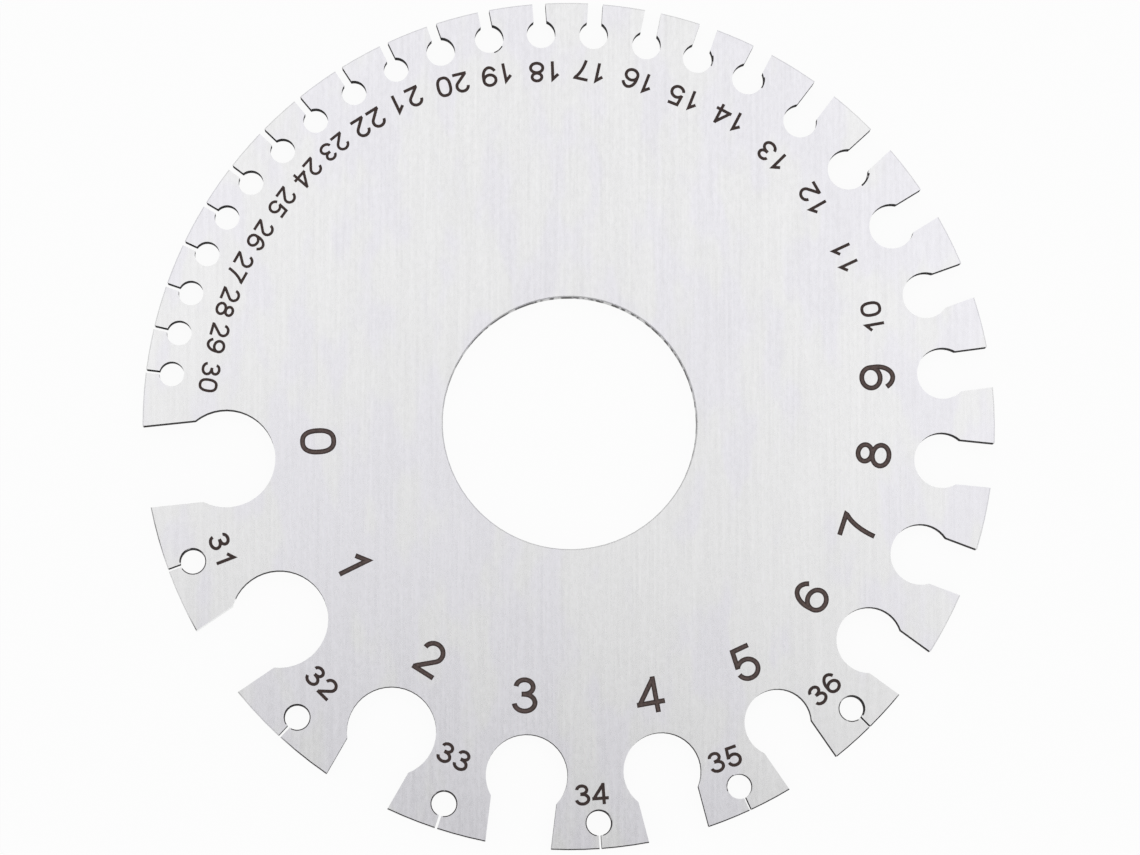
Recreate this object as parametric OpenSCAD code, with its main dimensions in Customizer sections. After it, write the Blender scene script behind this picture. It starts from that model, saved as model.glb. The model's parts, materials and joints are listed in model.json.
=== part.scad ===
// Round wire and sheet gauge: a flat steel disc with keyhole slots cut in from its rim.
// Each slot is as wide as its gauge number says and ends in a relief hole, so that wire
// can be pushed in along the slot and taken out again through the hole.
// The disc lies on its back at z = 0, with its centre on the Z axis and its marked face up.

/* [Disc] */
// Diameter of the disc, 3 1/4 inch
disc_d = 82.55; // [76:0.05:120]
// Thickness of the sheet that the disc is cut from
sheet_t = 1.5; // [0.8:0.1:3]
// Diameter of the centre hole
centre_hole_d = 24.6; // [6:0.1:40]
// Width of the broken edge round the rim and round the centre hole
edge_break = 0.1; // [0.05:0.05:0.35]

/* [Slots] */
// Bearing of slot 0 in degrees, anticlockwise from the +X axis
first_bearing = 186.2; // [0:0.1:360]
// Ease added to the nominal width of every slot
slot_ease = 0.02; // [0:0.01:0.1]
// Diameter of the relief holes of slots 16 to 20
middle_relief_d = 2.8; // [1.8:0.1:3.2]
// Diameter of the relief holes of slots 21 to 36
fine_relief_d = 2.4; // [1.2:0.1:2.6]
// Distance from the rim to the relief holes of slots 19 to 24
middle_depth = 2.8; // [2.4:0.1:5]
// Distance from the rim to the relief holes of slots 25 to 36
fine_depth = 2.5; // [2.1:0.1:5]

/* [Hidden] */
$fn = 96;

inch = 25.4;
disc_r = disc_d / 2;
centre_hole_r = centre_hole_d / 2;
cut_margin = 1;

// The old standard gauge for sheet and plate sets its widths in fractions of an inch,
// which fall in even steps of 20, 10, 8, 4, 2 and 1 of these parts of an inch.
PARTS_PER_INCH = 1280;
WIDTH_STEPS = [[0, 400], [1, 360], [14, 100], [16, 80], [20, 48], [26, 24], [31, 14], [36, 9]];

// Angle from each slot to the next, from slot 0 to slot 30
TURNS = [
    28.2, 25.8, 22.9, 21.7, 19.9, 19.3, 15.5, 14.9, 13.4, 12.2,
    11.7, 10.9, 10.3, 9.9, 8, 7.8, 7.9, 7.7, 7.6, 7.3,
    7, 7, 6.9, 6.5, 6.5, 6.1, 6, 6.1, 6, 6
];

// These slots go round the disc one after the other, and each of the finest gauges
// after them stands between two of the widest slots, a little past halfway.
LAST_IN_TURN = len(TURNS);
FINEST_SLOTS = 6;
PAST_HALFWAY = 0.2;
LAST_GAUGE = LAST_IN_TURN + FINEST_SLOTS;

// Diameters of the relief holes of slots 0 to 15
WIDE_RELIEF_D = [
    9.5, 9.4, 8.6, 7.9, 7.5, 6.5, 6.4, 5.9,
    5.4, 5, 4.5, 4.4, 4, 3.3, 3.1, 2.9
];
LAST_MIDDLE_RELIEF = 20;

// Distances from the rim to the relief holes of slots 0 to 18
WIDE_DEPTH = [
    7.9, 7.4, 6.8, 6.9, 6.4, 6, 5.5, 5, 5, 4.7,
    4.4, 4.4, 4.4, 4, 3.2, 3.3, 3.4, 3.1, 3
];
LAST_MIDDLE_DEPTH = 24;

function slot_width(gauge) = lookup(gauge, WIDTH_STEPS) * inch / PARTS_PER_INCH + slot_ease;

function turned(gauge) = gauge == 0 ? 0 : turned(gauge - 1) + TURNS[gauge - 1];

function turned_bearing(gauge) = first_bearing + turned(gauge);

// Gauge 31 stands between slots 0 and 1, gauge 32 between slots 1 and 2, and so on
function between_bearing(before) =
    (turned_bearing(before) + turned_bearing(before + 1)) / 2 + PAST_HALFWAY;

function slot_bearing(gauge) =
    gauge <= LAST_IN_TURN ? turned_bearing(gauge) : between_bearing(gauge - LAST_IN_TURN - 1);

function relief_diameter(gauge) =
    gauge < len(WIDE_RELIEF_D) ? WIDE_RELIEF_D[gauge]
    : gauge <= LAST_MIDDLE_RELIEF ? middle_relief_d
    : fine_relief_d;

function relief_depth(gauge) =
    gauge < len(WIDE_DEPTH) ? WIDE_DEPTH[gauge]
    : gauge <= LAST_MIDDLE_DEPTH ? middle_depth
    : fine_depth;

// The turned ring with its edges broken, before any slot is cut
module blank() {
    rotate_extrude()
        polygon([
            [centre_hole_r, edge_break],
            [centre_hole_r + edge_break, 0],
            [disc_r - edge_break, 0],
            [disc_r, edge_break],
            [disc_r, sheet_t - edge_break],
            [disc_r - edge_break, sheet_t],
            [centre_hole_r + edge_break, sheet_t],
            [centre_hole_r, sheet_t - edge_break]
        ]);
}

// The cutter for one keyhole on the +X axis: a relief hole and a straight slot out to the rim
module keyhole(width, relief_d, depth) {
    cut_h = sheet_t + 2 * cut_margin;
    translate([disc_r - depth, 0, -cut_margin]) {
        cylinder(d = relief_d, h = cut_h);
        translate([0, -width / 2, 0])
            cube([depth + cut_margin, width, cut_h]);
    }
}

module gauge_disc() {
    color("gainsboro")
        difference() {
            blank();
            for (gauge = [0 : LAST_GAUGE])
                rotate(slot_bearing(gauge))
                    keyhole(slot_width(gauge), relief_diameter(gauge), relief_depth(gauge));
        }
}

gauge_disc();
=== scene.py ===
"""Round wire and sheet gauge: brushed steel finish, marked numbers, floor, light and camera."""

import json
import math

import bmesh
import bpy
from mathutils import Matrix, Vector

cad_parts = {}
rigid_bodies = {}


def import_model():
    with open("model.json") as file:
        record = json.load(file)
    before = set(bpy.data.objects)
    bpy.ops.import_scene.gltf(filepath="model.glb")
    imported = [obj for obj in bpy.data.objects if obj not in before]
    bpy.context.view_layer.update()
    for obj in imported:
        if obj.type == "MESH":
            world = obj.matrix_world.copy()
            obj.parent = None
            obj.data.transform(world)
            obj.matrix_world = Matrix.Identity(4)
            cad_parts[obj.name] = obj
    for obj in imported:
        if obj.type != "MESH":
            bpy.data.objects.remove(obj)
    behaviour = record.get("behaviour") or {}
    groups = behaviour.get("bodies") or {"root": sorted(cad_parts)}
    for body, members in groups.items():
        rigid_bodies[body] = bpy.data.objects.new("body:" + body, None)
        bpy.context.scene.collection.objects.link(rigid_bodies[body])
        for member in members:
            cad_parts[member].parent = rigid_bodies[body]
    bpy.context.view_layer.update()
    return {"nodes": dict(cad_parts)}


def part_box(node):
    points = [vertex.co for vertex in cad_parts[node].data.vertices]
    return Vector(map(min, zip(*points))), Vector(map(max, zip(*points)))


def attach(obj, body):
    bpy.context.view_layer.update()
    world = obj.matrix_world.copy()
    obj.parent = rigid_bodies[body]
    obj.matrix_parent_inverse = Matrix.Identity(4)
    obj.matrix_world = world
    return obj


bl_info = {
    "name": "Wire Gauge Looks",
    "version": (1, 0, 0),
    "blender": (4, 5, 0),
    "location": "View3D > Sidebar > Wire Gauge",
    "description": "Finishes a round steel wire gauge and marks its numbers",
    "category": "Object",
}

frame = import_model()

DISC = "gauge_disc"
BODY = "root"
MM = 0.001

disc_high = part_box(DISC)[1]
FACE_Z = disc_high.z
DISC_R = disc_high.x

# Each number's bearing from the centre in degrees, its distance from the centre in
# millimetres, and how far it leans off the radius in degrees, all anticlockwise.
NUMBERS = [
    (184.5, 24.4, -1), (213.4, 24.9, -7), (239.6, 26.5, -2), (260.7, 26.8, 8),
    (286.3, 27.5, -6), (306, 28.8, -11), (324.1, 28.8, 8), (340.1, 29.7, 2),
    (354.2, 29.6, -4), (8.7, 30.2, -1), (19.4, 31.2, -9), (31.2, 31.3, -6),
    (42.7, 32.3, -13), (52.8, 32.8, -8), (62.4, 33.7, 0), (70.6, 33.8, -2),
    (78.6, 34.2, -10), (86.6, 34.5, -9), (93.9, 34.5, -2), (101.6, 34.8, 0),
    (109, 35, -5), (116.8, 35.3, -1), (123.7, 35.2, -1), (130.4, 35.3, -1),
    (136.3, 35.2, 3), (142.5, 35.2, 2), (148.8, 35.1, -1), (154.8, 35.3, -4),
    (160.7, 35.1, -2), (166.6, 35, -2), (173, 35.1, -3), (200.4, 35.7, 1),
    (226.6, 34.7, -1), (251, 34.2, -7), (273.3, 36, 1), (294.6, 35.8, -5),
    (313.6, 35.6, -2),
]
LAST_LARGE = 9
LAST_SMALL = 30
CROWDED = range(23, 31)

# Where a dark line is drawn round the edge of a hole: the bearing of the hole's middle in degrees,
# its distance from the centre and its radius in millimetres, which stamp marks it (0 goes all round
# but for the slot's mouth, 1 is a short arc), and which way that stamp looks in degrees.
DARK_EDGES = [
    (200.5, 38.775, 1.2, 0, 200.5), (227.5, 38.775, 1.2, 0, 227.5),
    (251.85, 38.775, 1.2, 0, 251.85), (274.15, 38.775, 1.2, 0, 274.15),
    (294.95, 38.775, 1.2, 1, 140), (294.95, 38.775, 1.2, 1, 182),
    (314.55, 38.775, 1.2, 0, 314.55),
    (42.6, 36.875, 2, 1, 330), (62.8, 38.075, 1.55, 1, -15),
    (70.8, 37.975, 1.45, 1, -10), (101.8, 38.475, 1.4, 1, 310),
]

# Half the gap that a long dark line leaves at the slot's mouth, and half the length of a short
# line, in degrees.
MOUTH = 14
SHORT_ARC = 20

# Arcs have a point every few degrees, and a bent stem has a few steps.
ARC_STEP = 9
STEM_STEPS = 8
# The least cosine that the mitre of a corner is worked out with, so that it stays short
SHARPEST_MITRE = 0.3
# Where a stroke's end is drawn in, a point nearer to it than this many times what is left to
# draw in is left out.
TOO_NEAR = 1.5
# Points of a finished mark that lie nearer to each other than this are made one.
WELD = 0.001 * MM
# The paler cores stand this many times as proud as the strokes round them.
CORE_RISE = 1.5

# The square of the Z of a surface's normal is 1 on the faces, a half on the broken edges and 0
# on the walls. A face is above the first of these and a wall is below the second.
FLAT = 0.9
SLANTED = 0.25

# A wall nearer to the axis than this is the centre hole's.
PAST_BORE = 13 * MM
# A wall this near to the rim is the disc's outer one, and a broken edge this near is the rim's.
OUTER_WALL = 0.06 * MM
OUTER_EDGE = 0.2 * MM

# The straight wall of slot 1 that looks down the picture takes the pale painted light of the walls
# instead of the painted shade. It is the only cut wall left of this X and between these values of
# Y.
LIT_WALL_X = -32.2 * MM
LIT_WALL_LOW_Y = -21.5 * MM
LIT_WALL_HIGH_Y = -16 * MM

# Scales of the patterns in the finishes along X, Y and Z, per millimetre
GRAIN = (4, 1.7, 1)
STREAKS = (4, 0.1, 0.4)
PATCHES = (0.3, 0.12, 0.1)
CLOUDS = (0.06, 0.04, 0.1)
RIM_BREAKS = (0.12, 0.12, 0.1)
WALL_LIGHT_NOISE = (1.6, 1.6, 0.3)
BURNT_FLECKS = (5, 5, 5)
EDGE_FLECKS = (1.6, 1.6, 1.6)
PATTERN_MEAN = 0.5

# The values from which and to which a pattern turns one finish into another
WARM_STEEL = (0.42, 0.58)
PAINTED_RIM_SHADE = (0.3, 0.5)
BORE_LIGHT_RAMP = (0.45, 0.6)
PALER_BURN = (0.35, 0.65)
BARE_EDGE = (0.57, 0.67)

# How far the clouds shift the patches of warm steel, and the breaks the line of painted shade on
# the rim
CLOUD_SHIFT = 0.8
BREAK_SHIFT = 1.2

# What the grain, the streaks and a slant add to the steel's roughness
GRAIN_ROUGHNESS = 0.1
STREAK_ROUGHNESS = 0.06
SLANT_ROUGHNESS = 0.12

# The painted shade of the cut walls holds a faint painted glint of steel in patches. The centre
# hole's wall keeps the bright steel, with its painted light, by the least share everywhere, and by
# up to the other one more in places.
PAINTED_WALL_GLINT = 0.06
LEAST_BORE_LIGHT = 0.1
MORE_BORE_LIGHT = 0.55

# The darkest flecks of a burnt mark as a share of its colour
DARKEST = 0.6

# Half the side of the floor, and how near the camera starts to see, in metres
FLOOR_HALF = 4.0
NEAREST_SEEN = 0.01


class GAUGE_PG_numbers(bpy.types.PropertyGroup):
    """Sizes and colours of the numbers marked on the face."""

    large_height: bpy.props.FloatProperty(
        name="Large Height", description="Height of the numbers 0 to 9",
        default=3.5 * MM, unit="LENGTH")
    small_height: bpy.props.FloatProperty(
        name="Small Height", description="Height of the numbers from 10 on",
        default=2.05 * MM, unit="LENGTH")
    crowded_height: bpy.props.FloatProperty(
        name="Crowded Height", description="Height of the numbers 23 to 30",
        default=1.85 * MM, unit="LENGTH")
    large_stroke: bpy.props.FloatProperty(
        name="Large Stroke", description="Stroke width of 0 to 9 as a share of their height",
        default=0.138, subtype="FACTOR")
    small_stroke: bpy.props.FloatProperty(
        name="Small Stroke", description="Stroke width of 10 to 30 as a share of their height",
        default=0.146, subtype="FACTOR")
    finest_stroke: bpy.props.FloatProperty(
        name="Finest Stroke", description="Stroke width of 31 to 36 as a share of their height",
        default=0.154, subtype="FACTOR")
    pitch: bpy.props.FloatProperty(
        name="Pitch", description="Step from digit to digit as a share of the height",
        default=0.85, subtype="FACTOR")
    rise: bpy.props.FloatProperty(
        name="Rise", description="How far the burnt mark stands proud of the face",
        default=0.01 * MM, unit="LENGTH")
    sink: bpy.props.FloatProperty(
        name="Sink", description="How far the mark reaches into the steel",
        default=0.04 * MM, unit="LENGTH")
    core_share: bpy.props.FloatProperty(
        name="Core Share", description="Width of a large stroke's paler core as a share of it",
        default=0.5, subtype="FACTOR")
    edge_color: bpy.props.FloatVectorProperty(
        name="Edge Color", description="Colour of the burnt strokes",
        default=(0.076, 0.047, 0.042), subtype="COLOR", size=3)
    core_color: bpy.props.FloatVectorProperty(
        name="Core Color", description="Colour of the paler core of the large strokes",
        default=(0.165, 0.115, 0.105), subtype="COLOR", size=3)


class GAUGE_PG_edges(bpy.types.PropertyGroup):
    """Sizes and colours of the dark lines round some of the holes."""

    width: bpy.props.FloatProperty(
        name="Width", description="Width of a dark edge as a share of its hole's radius",
        default=0.08, subtype="FACTOR")
    rise: bpy.props.FloatProperty(
        name="Rise", description="How far a dark edge stands proud of the face",
        default=0.005 * MM, unit="LENGTH")
    sink: bpy.props.FloatProperty(
        name="Sink", description="How far a dark edge reaches into the steel",
        default=0.04 * MM, unit="LENGTH")
    # The colour of the dark flecks drawn along the edges of some holes
    dark_color: bpy.props.FloatVectorProperty(
        name="Dark Color", description="Colour of the burnt flecks of the edge",
        default=(0.03, 0.024, 0.024), subtype="COLOR", size=3)
    bare_color: bpy.props.FloatVectorProperty(
        name="Bare Color", description="Colour of the bare steel between them",
        default=(0.6, 0.59, 0.6), subtype="COLOR", size=3)


class GAUGE_PG_steel(bpy.types.PropertyGroup):
    """Colours and finish of the brushed steel, with the colours of its painted light and shade."""

    cool_color: bpy.props.FloatVectorProperty(
        name="Cool Color", description="Steel in the bluish patches of the faces",
        default=(0.778, 0.77, 0.806), subtype="COLOR", size=3)
    warm_color: bpy.props.FloatVectorProperty(
        name="Warm Color", description="Steel in the plain grey patches of the faces",
        default=(0.785, 0.783, 0.787), subtype="COLOR", size=3)
    # Painted shade: the cut walls are given this near-black colour in place of the shade and
    # darkness that they mirror, and the dark line on the rim's broken edges takes it too.
    cut_color: bpy.props.FloatVectorProperty(
        name="Cut Color", description="Walls of the slots and holes, as cut",
        default=(0.02, 0.016, 0.016), subtype="COLOR", size=3)
    # Painted reflection: the outer wall, and other walls where they keep the bright steel, are made
    # paler than the faces, standing in for the white floor that they mirror.
    rim_color: bpy.props.FloatVectorProperty(
        name="Rim Color", description="Ground outer wall of the disc",
        default=(0.92, 0.92, 0.92), subtype="COLOR", size=3)
    roughness: bpy.props.FloatProperty(
        name="Roughness", description="Mean roughness of the brushed faces",
        default=0.28, subtype="FACTOR")
    grain: bpy.props.FloatProperty(
        name="Grain", description="How much the fine brushing lightens and darkens the steel",
        default=0.27, subtype="FACTOR")
    streaks: bpy.props.FloatProperty(
        name="Streaks", description="Strength of the long streaks as a share of the grain's",
        default=0.8, subtype="FACTOR")
    patches: bpy.props.FloatProperty(
        name="Patches", description="How much the small patches lighten and darken the steel",
        default=0.05, subtype="FACTOR")
    clouds: bpy.props.FloatProperty(
        name="Clouds", description="How much the large patches lighten and darken the steel",
        default=0.06, subtype="FACTOR")
    # Painted highlight: the steel's colour is made paler out to the left and right, standing in for
    # the light that it reflects there.
    paler_sides: bpy.props.FloatProperty(
        name="Paler Sides", description="How much the steel is paler out to the left and right",
        default=0.1, subtype="FACTOR")
    scratch_depth: bpy.props.FloatProperty(
        name="Scratch Depth", description="Depth of the brushing in the bump",
        default=0.003 * MM, unit="LENGTH")


class GAUGE_PG_stage(bpy.types.PropertyGroup):
    """The floor, the light and the camera."""

    eye: bpy.props.FloatVectorProperty(
        name="Eye", description="Where the camera stands",
        default=(-16.8 * MM, -60.4 * MM, 520 * MM), subtype="XYZ", unit="LENGTH", size=3)
    aim: bpy.props.FloatVectorProperty(
        name="Aim", description="The point on the face at the middle of the view",
        default=(0.02 * MM, -0.48 * MM, 1.5 * MM), subtype="XYZ", unit="LENGTH", size=3)
    view_angle: bpy.props.FloatProperty(
        name="View Angle", description="Horizontal angle of view",
        default=math.radians(12.06), subtype="ANGLE")
    floor_color: bpy.props.FloatVectorProperty(
        name="Floor Color", description="Colour of the floor",
        default=(0.95, 0.95, 0.95), subtype="COLOR", size=3)
    floor_glow: bpy.props.FloatProperty(
        name="Floor Glow", description="Share of plain white in what the eye sees of the floor",
        default=0.95, subtype="FACTOR")
    sky: bpy.props.FloatProperty(
        name="Sky", description="Strength of the even light from all round", default=0.5)
    window_power: bpy.props.FloatProperty(
        name="Window Power", description="Power of the large soft lamp", default=0.4, unit="POWER")
    window_size: bpy.props.FloatProperty(
        name="Window Size", description="Side of the large soft lamp", default=0.45, unit="LENGTH")
    window_at: bpy.props.FloatVectorProperty(
        name="Window Place", description="Where the large soft lamp hangs",
        default=(0.04, 0.2, 0.52), subtype="XYZ", unit="LENGTH", size=3)


def bow(x, y, across, up, start, end):
    """Points along an ellipse with its middle at x, y, from one angle to another in degrees."""
    count = max(2, round(abs(end - start) / ARC_STEP))
    turns = (math.radians(start + (end - start) * i / count) for i in range(count + 1))
    return [(x + across * math.cos(t), y + up * math.sin(t)) for t in turns]


def oval(across, up, fullness):
    """Points round an oval about the middle of a digit. Past 2, its sides run straighter."""
    spots = []
    for i in range(round(360 / ARC_STEP)):
        turn = math.radians(i * ARC_STEP)
        c, s = math.cos(turn), math.sin(turn)
        x = math.copysign(across * abs(c) ** (2 / fullness), c)
        y = math.copysign(up * abs(s) ** (2 / fullness), s)
        spots.append((x, 0.5 + y))
    return spots


def bent_stem(start, towards, end):
    """Points along a curve that leaves start towards one point and ends at another."""
    spots = []
    corners = (start, towards, end)
    for i in range(STEM_STEPS + 1):
        t = i / STEM_STEPS
        shares = ((1 - t) ** 2, 2 * t * (1 - t), t * t)
        spots.append(tuple(sum(w * c[axis] for w, c in zip(shares, corners)) for axis in (0, 1)))
    return spots


def digit_strokes(digit, width):
    """Centre lines of a digit of height 1 about x = 0, each with whether it is closed."""
    half = width / 2
    top = 1 - half
    if digit == 0:
        return [(oval(0.365 - half, 0.5 - half, 2.5), True)]
    if digit == 1:
        return [([(0.1, 0), (0.1, 0.86), (-0.17, 0.62)], False)]
    if digit == 2:
        head = bow(-0.01, 0.665, 0.27, top - 0.675, 176, -48)
        return [(head + [(-0.24, 0.1)], False), ([(-0.31, half), (0.36, half)], False)]
    if digit == 3:
        waist = (-0.09, 0.535)
        upper = bow(-0.01, 0.735, 0.235, top - 0.735, 176, -90)
        lower = bow(0, 0.3, 0.285, 0.3 - half, 90, -174)
        return [(upper + [waist], False), ([waist] + lower, False)]
    if digit == 4:
        slope = [(0.155, 0.945), (-0.33, 0.27)]
        bar = [(-0.4, 0.285), (0.38, 0.285)]
        return [(line, False) for line in ([(0.15, 0), (0.15, 1)], slope, bar)]
    if digit == 5:
        neck = [(0.28, top), (-0.19, top), (-0.255, 0.43)]
        return [(neck, False), (bow(0, 0.335, 0.285, 0.335 - half, 146, -168), False)]
    if digit == 6:
        bowl = bow(0, 0.325, 0.285, 0.325 - half, 0, 351)
        back = bow(0.035, 0.47, 0.32, top - 0.47, 33, 180)
        return [(bowl, True), (back + [(-0.285, 0.33)], False)]
    if digit == 7:
        stem = bent_stem((0.24, top - 0.03), (-0.03, 0.6), (-0.1, 0))
        return [([(-0.36, top), (0.25, top)] + stem, False)]
    if digit == 8:
        upper = bow(0, 0.74, 0.23, top - 0.74, 0, 351)
        return [(upper, True), (bow(0, 0.3, 0.29, 0.3 - half, 0, 351), True)]
    return [([(-x, 1 - y) for x, y in spots], closed)
            for spots, closed in digit_strokes(6, width)]


def unit(start, end):
    """The direction from one point to another."""
    across, up = end[0] - start[0], end[1] - start[1]
    length = math.hypot(across, up)
    return across / length, up / length


def drawn_in(spots, trim):
    """An open line with both its ends drawn in."""
    spots = list(spots)
    for end, beside in ((0, 1), (-1, -2)):
        left = trim
        while math.dist(spots[end], spots[beside]) < TOO_NEAR * left:
            left = max(0, left - math.dist(spots[end], spots[beside]))
            spots.pop(end)
        way = unit(spots[end], spots[beside])
        spots[end] = tuple(spots[end][axis] + left * way[axis] for axis in (0, 1))
    return spots


def ribbon_sides(spots, closed, half):
    """Points on both sides of a line, with mitred corners."""
    sides = []
    last = len(spots) - 1
    for i, spot in enumerate(spots):
        ways = []
        if closed or i > 0:
            ways.append(unit(spots[i - 1], spot))
        if closed or i < last:
            ways.append(unit(spot, spots[i + 1 if i < last else 0]))
        mean = unit((0, 0), (sum(w[0] for w in ways), sum(w[1] for w in ways)))
        slant = max(SHARPEST_MITRE, ways[0][0] * mean[0] + ways[0][1] * mean[1])
        step = (-mean[1] * half / slant, mean[0] * half / slant)
        sides.append([(spot[0] + s * step[0], spot[1] + s * step[1]) for s in (1, -1)])
    return sides


def add_ribbon(mesh, spots, closed, half, low, high):
    """A closed flat ribbon along a line, from one height to another."""
    rings = []
    for left, right in ribbon_sides(spots, closed, half):
        corners = ((left, high), (left, low), (right, low), (right, high))
        rings.append([mesh.verts.new((x, y, z)) for (x, y), z in corners])
    pairs = list(zip(rings, rings[1:]))
    if closed:
        pairs.append((rings[-1], rings[0]))
    else:
        mesh.faces.new(rings[0])
        mesh.faces.new(rings[-1][::-1])
    for one, two in pairs:
        for a in range(4):
            b = (a + 1) % 4
            mesh.faces.new((one[a], two[a], two[b], one[b]))


def stamp(name, lines, half, low, high):
    """A flat shape of ribbons along lines."""
    made = bmesh.new()
    for spots, closed in lines:
        add_ribbon(made, spots, closed, half, low, high)
    bmesh.ops.recalc_face_normals(made, faces=made.faces)
    mesh = bpy.data.meshes.new(name)
    made.to_mesh(mesh)
    made.free()
    return bpy.data.objects.new(name, mesh)


def digit_stamps(width, share, low, high):
    """The ten digits of height 1, whose strokes keep a share of their full width."""
    half = width * share / 2
    trim = width / 2 - half
    stamps = []
    for digit in range(10):
        lines = [(spots if closed else drawn_in(spots, trim), closed)
                 for spots, closed in digit_strokes(digit, width)]
        stamps.append(stamp(f"digit_{digit}", lines, half, low, high))
    return stamps


def edge_stamps(width, low, high):
    """Thin lines just outside a hole of radius 1: one nearly all round, one short."""
    half = width / 2
    arcs = ((MOUTH, 360 - MOUTH), (-SHORT_ARC, SHORT_ARC))
    return [stamp(f"edge_{i}", [(bow(0, 0, 1 + half, 1 + half, *arc), False)], half, low, high)
            for i, arc in enumerate(arcs)]


def heading(bearing):
    """The level direction of a bearing in degrees."""
    turn = math.radians(bearing)
    return Vector((math.cos(turn), math.sin(turn), 0))


def edge_spots():
    """Place, stamp, turn and size of every dark edge."""
    spots = []
    for bearing, distance, radius, kind, turn in DARK_EDGES:
        place = heading(bearing) * distance * MM
        place.z = FACE_Z
        spots.append((place, kind, math.radians(turn), radius * MM))
    return spots


def digit_spots(sizes, gauges):
    """Place, digit, turn and height of every digit of some gauges' numbers."""
    spots = []
    for gauge in gauges:
        bearing, distance, lean = NUMBERS[gauge]
        height = sizes.small_height
        if gauge <= LAST_LARGE:
            height = sizes.large_height
        elif gauge in CROWDED:
            height = sizes.crowded_height
        up = bearing + 180 + lean
        ahead = heading(up)
        along = Vector((ahead.y, -ahead.x, 0))
        middle = heading(bearing) * distance * MM
        text = str(gauge)
        for place, sign in enumerate(text):
            step = (place - (len(text) - 1) / 2) * sizes.pitch * height
            foot = middle + along * step - ahead * height / 2
            foot.z = FACE_Z
            spots.append((foot, int(sign), math.radians(up - 90), height))
    return spots


def added(name, data):
    """A new object in the scene."""
    thing = bpy.data.objects.new(name, data)
    bpy.context.scene.collection.objects.link(thing)
    return thing


def spot_cloud(name, spots):
    """An object with a vertex for each spot, which carries its stamp, turn and size."""
    mesh = bpy.data.meshes.new(name)
    mesh.from_pydata([spot[0] for spot in spots], [], [])
    for title, kind, column in (("stamp", "INT", 1), ("turn", "FLOAT", 2), ("size", "FLOAT", 3)):
        values = mesh.attributes.new(title, kind, "POINT")
        values.data.foreach_set("value", [spot[column] for spot in spots])
    return added(name, mesh)


def stamping_tree():
    """Geometry nodes that set a stamp on every point and join what they make."""
    tree = bpy.data.node_groups.new("stamping", "GeometryNodeTree")
    face = tree.interface
    face.new_socket("Points", in_out="INPUT", socket_type="NodeSocketGeometry")
    face.new_socket("Stamps", in_out="INPUT", socket_type="NodeSocketCollection")
    face.new_socket("Finish", in_out="INPUT", socket_type="NodeSocketMaterial")
    face.new_socket("Weld", in_out="INPUT", socket_type="NodeSocketFloat")
    face.new_socket("Marks", in_out="OUTPUT", socket_type="NodeSocketGeometry")
    start = tree.nodes.new("NodeGroupInput")
    end = tree.nodes.new("NodeGroupOutput")

    def put(kind, settings=(), links=()):
        """Adds a node, sets it, feeds its sockets and gives its first output."""
        node = tree.nodes.new(kind)
        for name, value in settings:
            setattr(node, name, value)
        for key, source in links:
            if isinstance(source, bpy.types.NodeSocket):
                tree.links.new(source, node.inputs[key])
            else:
                node.inputs[key].default_value = source
        return node.outputs[0]

    def carried(name, kind):
        """An attribute that the points carry."""
        return put("GeometryNodeInputNamedAttribute", [("data_type", kind)], [("Name", name)])

    stamps = put("GeometryNodeCollectionInfo", (), [
        ("Collection", start.outputs["Stamps"]), ("Separate Children", True),
        ("Reset Children", True)])
    turned = put("ShaderNodeCombineXYZ", (), [("Z", carried("turn", "FLOAT"))])
    size = carried("size", "FLOAT")
    scaled = put("ShaderNodeCombineXYZ", (), [("X", size), ("Y", size), ("Z", 1)])
    stood = put("GeometryNodeInstanceOnPoints", (), [
        ("Points", start.outputs["Points"]), ("Instance", stamps), ("Pick Instance", True),
        ("Instance Index", carried("stamp", "INT")),
        ("Rotation", put("FunctionNodeEulerToRotation", (), [(0, turned)])), ("Scale", scaled)])
    solid = put("GeometryNodeRealizeInstances", (), [("Geometry", stood)])
    joined = put("GeometryNodeMeshBoolean", [("operation", "UNION"), ("solver", "EXACT")],
                 [("Mesh 2", solid), ("Self Intersection", True)])
    welded = put("GeometryNodeMergeByDistance", (), [
        ("Geometry", joined), ("Distance", start.outputs["Weld"])])
    finished = put("GeometryNodeSetMaterial", (), [
        ("Geometry", welded), ("Material", start.outputs["Finish"])])
    tree.links.new(finished, end.inputs["Marks"])
    return tree


def stamped(name, stamps, spots, finish):
    """One closed piece with a stamp set at every spot, riding on the disc."""
    kinds = bpy.data.collections.new("stamps")
    bpy.context.scene.collection.children.link(kinds)
    for kind in stamps:
        kinds.objects.link(kind)
    cloud = spot_cloud("spots", spots)
    tree = stamping_tree()
    stamping = cloud.modifiers.new("Stamping", "NODES")
    stamping.node_group = tree
    sockets = {item.name: item.identifier for item in tree.interface.items_tree
               if item.in_out == "INPUT"}
    stamping[sockets["Stamps"]] = kinds
    stamping[sockets["Finish"]] = finish
    stamping[sockets["Weld"]] = WELD
    dressed = cloud.evaluated_get(bpy.context.evaluated_depsgraph_get())
    mesh = bpy.data.meshes.new_from_object(dressed)
    mesh.name = name
    for used in [*kinds.objects, cloud]:
        bpy.data.objects.remove(used)
    bpy.data.collections.remove(kinds)
    bpy.data.node_groups.remove(tree)
    piece = added(name, mesh)
    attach(piece, BODY)


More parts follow.
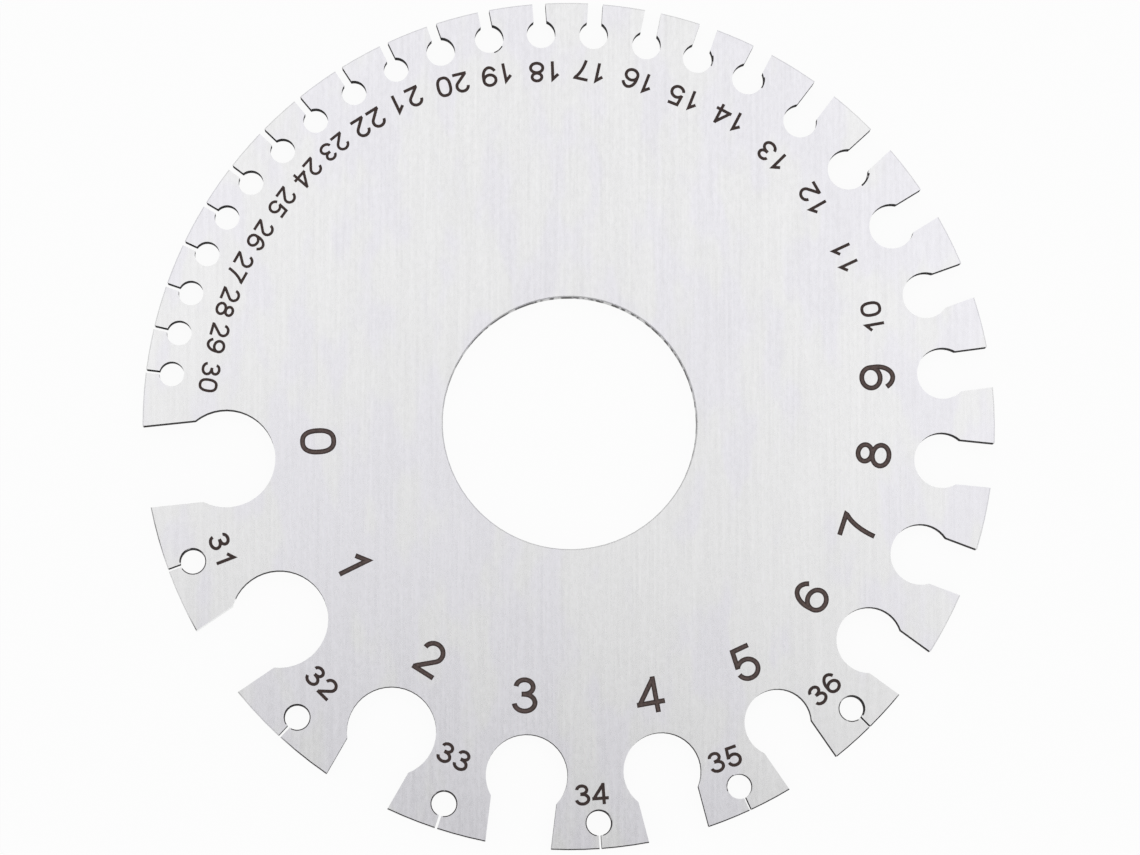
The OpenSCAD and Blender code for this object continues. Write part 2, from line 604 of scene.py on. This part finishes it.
class Wire:
    """A node's output that can be used in sums: each operation adds a Math node."""

    def __init__(self, bench, socket):
        self.bench = bench
        self.socket = socket

    def beside(self, name):
        """Another output of the same node."""
        return Wire(self.bench, self.socket.node.outputs[name])

    def maths(self, operation, first, second):
        """The result of one Math node."""
        return self.bench.put("ShaderNodeMath", {"operation": operation}, {0: first, 1: second})

    def __add__(self, other):
        return self.maths("ADD", self, other)

    __radd__ = __add__

    def __sub__(self, other):
        return self.maths("SUBTRACT", self, other)

    def __rsub__(self, other):
        return self.maths("SUBTRACT", other, self)

    def __mul__(self, other):
        return self.maths("MULTIPLY", self, other)

    __rmul__ = __mul__

    def __truediv__(self, other):
        return self.maths("DIVIDE", self, other)

    def __rtruediv__(self, other):
        return self.maths("DIVIDE", other, self)

    def __pow__(self, other):
        return self.maths("POWER", self, other)

    def above(self, limit):
        """1 above a limit and 0 elsewhere."""
        return self.maths("GREATER_THAN", self, limit)

    def below(self, limit):
        """0 above a limit and 1 elsewhere."""
        return 1 - self.above(limit)


class Bench:
    """The nodes of one material or of the world."""

    def __init__(self, tree):
        self.tree = tree
        tree.nodes.clear()

    def put(self, kind, settings=None, sockets=None, out=0):
        """Adds a node, sets it, feeds its sockets and gives one of its outputs."""
        node = self.tree.nodes.new(kind)
        for name, value in (settings or {}).items():
            setattr(node, name, value)
        for key, value in (sockets or {}).items():
            if isinstance(value, Wire):
                self.tree.links.new(value.socket, node.inputs[key])
            else:
                node.inputs[key].default_value = value
        return Wire(self, node.outputs[out])

    def mixed(self, share, first, second, blend="MIX"):
        """A colour between two others."""
        settings = {"data_type": "RGBA", "blend_type": blend}
        return self.put("ShaderNodeMix", settings, {0: share, 6: first, 7: second}, out=2)

    def stretched_noise(self, place, scale, detail=2.0, roughness=0.5):
        """Noise with its own scale along each axis, per millimetre."""
        spread = tuple(s / MM for s in scale)
        stretched = self.put(
            "ShaderNodeVectorMath", {"operation": "MULTIPLY"}, {0: place, 1: spread})
        return self.put("ShaderNodeTexNoise", None, {
            "Vector": stretched, "Scale": 1.0, "Detail": detail, "Roughness": roughness})

    def end_at(self, shader, kind="ShaderNodeOutputMaterial"):
        """Sends a shader to the output node."""
        self.tree.links.new(shader.socket, self.tree.nodes.new(kind).inputs["Surface"])

    def eased(self, value, low, high):
        """A smooth step from 0 at one value to 1 at another."""
        return self.put("ShaderNodeMapRange", {"interpolation_type": "SMOOTHSTEP"}, {
            "Value": value, "From Min": low, "From Max": high})


def colour(triple):
    """A colour with its alpha."""
    return (*triple, 1.0)


def new_material(name):
    """A material, and the bench on which its nodes are set."""
    material = bpy.data.materials.new(name)
    material.use_nodes = True
    return material, Bench(material.node_tree)


def brushed_color(bench, look, place, grain, streak, across):
    """Steel in cool and warm patches, with a painted highlight that makes it paler out to the left
    and right.
    """
    patch = bench.stretched_noise(place, PATCHES)
    cloud = bench.stretched_noise(place, CLOUDS, detail=1)
    warmth = bench.eased(patch + CLOUD_SHIFT * (cloud - PATTERN_MEAN), *WARM_STEEL)
    steel = bench.mixed(warmth, colour(look.cool_color), colour(look.warm_color))
    # Painted highlight, strongest at the left and right edges of the disc
    side_highlight_mask = across * across / DISC_R ** 2
    level = (1 + look.grain * (grain - PATTERN_MEAN)
             + look.streaks * look.grain * (streak - PATTERN_MEAN)
             + look.patches * (patch - PATTERN_MEAN) + look.clouds * (cloud - PATTERN_MEAN)
             + look.paler_sides * side_highlight_mask)
    shade = bench.put("ShaderNodeCombineColor", None, {
        "Red": level, "Green": level, "Blue": level})
    return bench.mixed(1.0, steel, shade, "MULTIPLY")


def brushed_steel(look):
    """Steel brushed along Y, with cut walls painted dark as shade, a bore wall partly painted light
    and a rim wall painted pale as light.
    """
    material, bench = new_material("brushed_steel")
    place = bench.put("ShaderNodeTexCoord", out="Object")
    across = bench.put("ShaderNodeSeparateXYZ", None, {0: place}, out="X")
    along = across.beside("Y")
    from_axis = (across * across + along * along) ** 0.5
    normal = bench.put("ShaderNodeNewGeometry", out="True Normal")
    upward = bench.put("ShaderNodeSeparateXYZ", None, {0: normal}, out="Z")
    upright = upward * upward
    wall = upright.below(SLANTED)
    slanted = upright.above(SLANTED) * upright.below(FLAT)

    # The bright steel of the faces and the outer wall, with a line of painted shade in places on
    # the rim's broken edges that look towards -Y
    grain = bench.stretched_noise(place, GRAIN, roughness=0.6)
    streak = bench.stretched_noise(place, STREAKS, detail=3)
    face = brushed_color(bench, look, place, grain, streak, across)
    # The walls of the bright steel take a pale colour, a painted reflection of the white floor.
    sides = bench.mixed(wall, face, colour(look.rim_color))
    broken = bench.stretched_noise(place, RIM_BREAKS, detail=1)
    # Painted shade on the rim's broken edges that look towards -Y, broken in places by noise
    down = -1 * upward.beside("Y") + BREAK_SHIFT * (broken - PATTERN_MEAN)
    rim_edge = slanted * from_axis.above(DISC_R - OUTER_EDGE)
    color = bench.mixed(rim_edge * bench.eased(down, *PAINTED_RIM_SHADE), sides, colour(look.cut_color))
    roughness = (look.roughness + GRAIN_ROUGHNESS * (grain - PATTERN_MEAN)
                 + STREAK_ROUGHNESS * (streak - PATTERN_MEAN)
                 + SLANT_ROUGHNESS * upright.below(FLAT))
    bump = bench.put("ShaderNodeBump", None, {
        "Strength": 0.6, "Distance": look.scratch_depth, "Height": grain + streak})
    bright = bench.put("ShaderNodeBsdfPrincipled", None, {
        "Base Color": color, "Metallic": 1.0, "Roughness": roughness, "Normal": bump})

    # The dull steel of the cut walls, painted dark as shade, with a faint painted glint
    wall_light_noise = bench.stretched_noise(place, WALL_LIGHT_NOISE)
    dark = bench.mixed(PAINTED_WALL_GLINT * wall_light_noise, colour(look.cut_color), colour(look.warm_color))
    dull = bench.put("ShaderNodeBsdfPrincipled", None, {
        "Base Color": dark, "Metallic": 0.0, "Roughness": 0.8, "Specular IOR Level": 0.1})

    # All walls take the dull painted shade but for the outer one, slot 1's wall that looks down the
    # picture and the painted-light share of the bore's wall
    # Painted light on the bore's wall, in patches
    bore_light_share = LEAST_BORE_LIGHT + MORE_BORE_LIGHT * bench.eased(wall_light_noise, *BORE_LIGHT_RAMP)
    lit_bore_share = from_axis.below(PAST_BORE) * bore_light_share
    # Slot 1's wall that looks down the picture: no painted shade, the pale painted wall light
    # instead
    bare = across.below(LIT_WALL_X) * along.above(LIT_WALL_LOW_Y) * along.below(LIT_WALL_HIGH_Y)
    cut = wall * from_axis.below(DISC_R - OUTER_WALL) * (1 - lit_bore_share) * (1 - bare)
    bench.end_at(bench.put("ShaderNodeMixShader", None, {0: cut, 1: bright, 2: dull}))
    return material


def burnt_mark(name, color):
    """The dull dark oxide that the marking leaves."""
    material, bench = new_material(name)
    place = bench.put("ShaderNodeTexCoord", out="Object")
    fleck = bench.stretched_noise(place, BURNT_FLECKS, detail=3)
    darker = tuple(DARKEST * c for c in color)
    tone = bench.mixed(bench.eased(fleck, *PALER_BURN), colour(darker), colour(color))
    bench.end_at(bench.put("ShaderNodeBsdfPrincipled", None, {
        "Base Color": tone, "Metallic": 0.3, "Roughness": 0.45 + 0.3 * fleck}))
    return material


def flecked_edge(look):
    """The edge of a hole, dark in flecks here and there."""
    material, bench = new_material("flecked_edge")
    place = bench.put("ShaderNodeTexCoord", out="Object")
    fleck = bench.stretched_noise(place, EDGE_FLECKS, detail=3)
    bare = bench.eased(fleck, *BARE_EDGE)
    tone = bench.mixed(bare, colour(look.dark_color), colour(look.bare_color))
    bench.end_at(bench.put("ShaderNodeBsdfPrincipled", None, {
        "Base Color": tone, "Metallic": 0.3, "Roughness": 0.6}))
    return material


def floor_finish(look):
    """A pale floor that looks white and keeps the shadow."""
    material, bench = new_material("floor")
    rays = bench.put("ShaderNodeLightPath", out="Is Camera Ray")
    seen = rays + rays.beside("Is Glossy Ray") + rays.beside("Is Transmission Ray")
    lit = bench.put("ShaderNodeBsdfDiffuse", None, {"Color": colour(look.floor_color)})
    plain = bench.put("ShaderNodeEmission", None, {"Strength": 1.0})
    bench.end_at(bench.put("ShaderNodeMixShader", None, {
        0: look.floor_glow * seen, 1: lit, 2: plain}))
    return material


class GAUGE_OT_steel(bpy.types.Operator):
    """Give the disc its brushed steel"""

    bl_idname = "gauge.steel"
    bl_label = "Brush the Disc"

    def execute(self, context):
        steel = brushed_steel(context.scene.gauge_steel)
        for slot in frame["nodes"][DISC].material_slots:
            slot.material = steel
        return {"FINISHED"}


class GAUGE_OT_numbers(bpy.types.Operator):
    """Mark the numbers 0 to 36 on the face"""

    bl_idname = "gauge.numbers"
    bl_label = "Mark the Numbers"

    def execute(self, context):
        sizes = context.scene.gauge_numbers
        large, small = range(LAST_LARGE + 1), range(LAST_LARGE + 1, LAST_SMALL + 1)
        finest = range(LAST_SMALL + 1, len(NUMBERS))
        edge = burnt_mark("burnt_edge", sizes.edge_color)
        core = burnt_mark("burnt_core", sizes.core_color)
        core_high = CORE_RISE * sizes.rise
        marks = (
            ("large_numbers", large, sizes.large_stroke, 1.0, sizes.rise, edge),
            ("large_cores", large, sizes.large_stroke, sizes.core_share, core_high, core),
            ("small_numbers", small, sizes.small_stroke, 1.0, sizes.rise, edge),
            ("finest_numbers", finest, sizes.finest_stroke, 1.0, sizes.rise, edge),
        )
        for name, gauges, stroke, share, high, finish in marks:
            stamps = digit_stamps(stroke, share, -sizes.sink, high)
            stamped(name, stamps, digit_spots(sizes, gauges), finish)
        return {"FINISHED"}


class GAUGE_OT_edges(bpy.types.Operator):
    """Draw the dark lines round some of the holes"""

    bl_idname = "gauge.edges"
    bl_label = "Burn the Hole Edges"

    def execute(self, context):
        look = context.scene.gauge_edges
        stamps = edge_stamps(look.width, -look.sink, look.rise)
        stamped("dark_edges", stamps, edge_spots(), flecked_edge(look))
        return {"FINISHED"}


class GAUGE_OT_stage(bpy.types.Operator):
    """Lay the floor, hang the lamp and stand the camera"""

    bl_idname = "gauge.stage"
    bl_label = "Set the Stage"

    def execute(self, context):
        look = context.scene.gauge_stage
        self.lay_floor(look)
        self.hang_window(look)
        self.light_world(look)
        self.stand_camera(look)
        context.scene.view_settings.view_transform = "Standard"
        return {"FINISHED"}

    def lay_floor(self, look):
        mesh = bpy.data.meshes.new("floor")
        signs = ((-1, -1), (1, -1), (1, 1), (-1, 1))
        corners = [(x * FLOOR_HALF, y * FLOOR_HALF, 0) for x, y in signs]
        mesh.from_pydata(corners, [], [(0, 1, 2, 3)])
        mesh.materials.append(floor_finish(look))
        added("floor", mesh)

    def hang_window(self, look):
        lamp = bpy.data.lights.new("window", "AREA")
        lamp.shape = "SQUARE"
        lamp.size = look.window_size
        lamp.energy = look.window_power
        window = added("window", lamp)
        window.location = look.window_at
        window.rotation_euler = (-Vector(look.window_at)).to_track_quat("-Z", "Y").to_euler()

    def light_world(self, look):
        world = bpy.data.worlds.new("world")
        world.use_nodes = True
        bpy.context.scene.world = world
        bench = Bench(world.node_tree)
        seen = bench.put("ShaderNodeLightPath", out="Is Camera Ray")
        strength = look.sky + (1 - look.sky) * seen
        sky = bench.put("ShaderNodeBackground", None, {"Color": (1, 1, 1, 1), "Strength": strength})
        bench.end_at(sky, "ShaderNodeOutputWorld")

    def stand_camera(self, look):
        lens = bpy.data.cameras.new("camera")
        lens.angle = look.view_angle
        lens.clip_start = NEAREST_SEEN
        camera = added("camera", lens)
        ahead = (Vector(look.aim) - Vector(look.eye)).normalized()
        right = ahead.cross(Vector((0, 1, 0))).normalized()
        axes = Matrix((right, right.cross(ahead), -ahead)).transposed()
        camera.matrix_world = Matrix.Translation(look.eye) @ axes.to_4x4()
        bpy.context.scene.camera = camera


class GAUGE_PT_panel(bpy.types.Panel):
    """The steps that finish the gauge, in order."""

    bl_idname = "GAUGE_PT_panel"
    bl_label = "Wire Gauge"
    bl_space_type = "VIEW_3D"
    bl_region_type = "UI"
    bl_category = "Wire Gauge"

    def draw(self, context):
        for title, group, operator in STEPS:
            box = self.layout.box()
            for name in group.__annotations__:
                box.prop(getattr(context.scene, title), name)
            box.operator(operator.bl_idname)


# Each step's name for its settings on the scene, the group of these settings and its operator
STEPS = [
    ("gauge_stage", GAUGE_PG_stage, GAUGE_OT_stage),
    ("gauge_steel", GAUGE_PG_steel, GAUGE_OT_steel),
    ("gauge_numbers", GAUGE_PG_numbers, GAUGE_OT_numbers),
    ("gauge_edges", GAUGE_PG_edges, GAUGE_OT_edges),
]


def register():
    for title, group, operator in STEPS:
        bpy.utils.register_class(group)
        bpy.utils.register_class(operator)
        setattr(bpy.types.Scene, title, bpy.props.PointerProperty(type=group))
    bpy.utils.register_class(GAUGE_PT_panel)


def unregister():
    bpy.utils.unregister_class(GAUGE_PT_panel)
    for title, group, operator in reversed(STEPS):
        delattr(bpy.types.Scene, title)
        bpy.utils.unregister_class(operator)
        bpy.utils.unregister_class(group)


def main():
    register()
    bpy.ops.gauge.stage()
    bpy.ops.gauge.steel()
    bpy.ops.gauge.numbers()
    bpy.ops.gauge.edges()


if __name__ == "__main__":
    main()
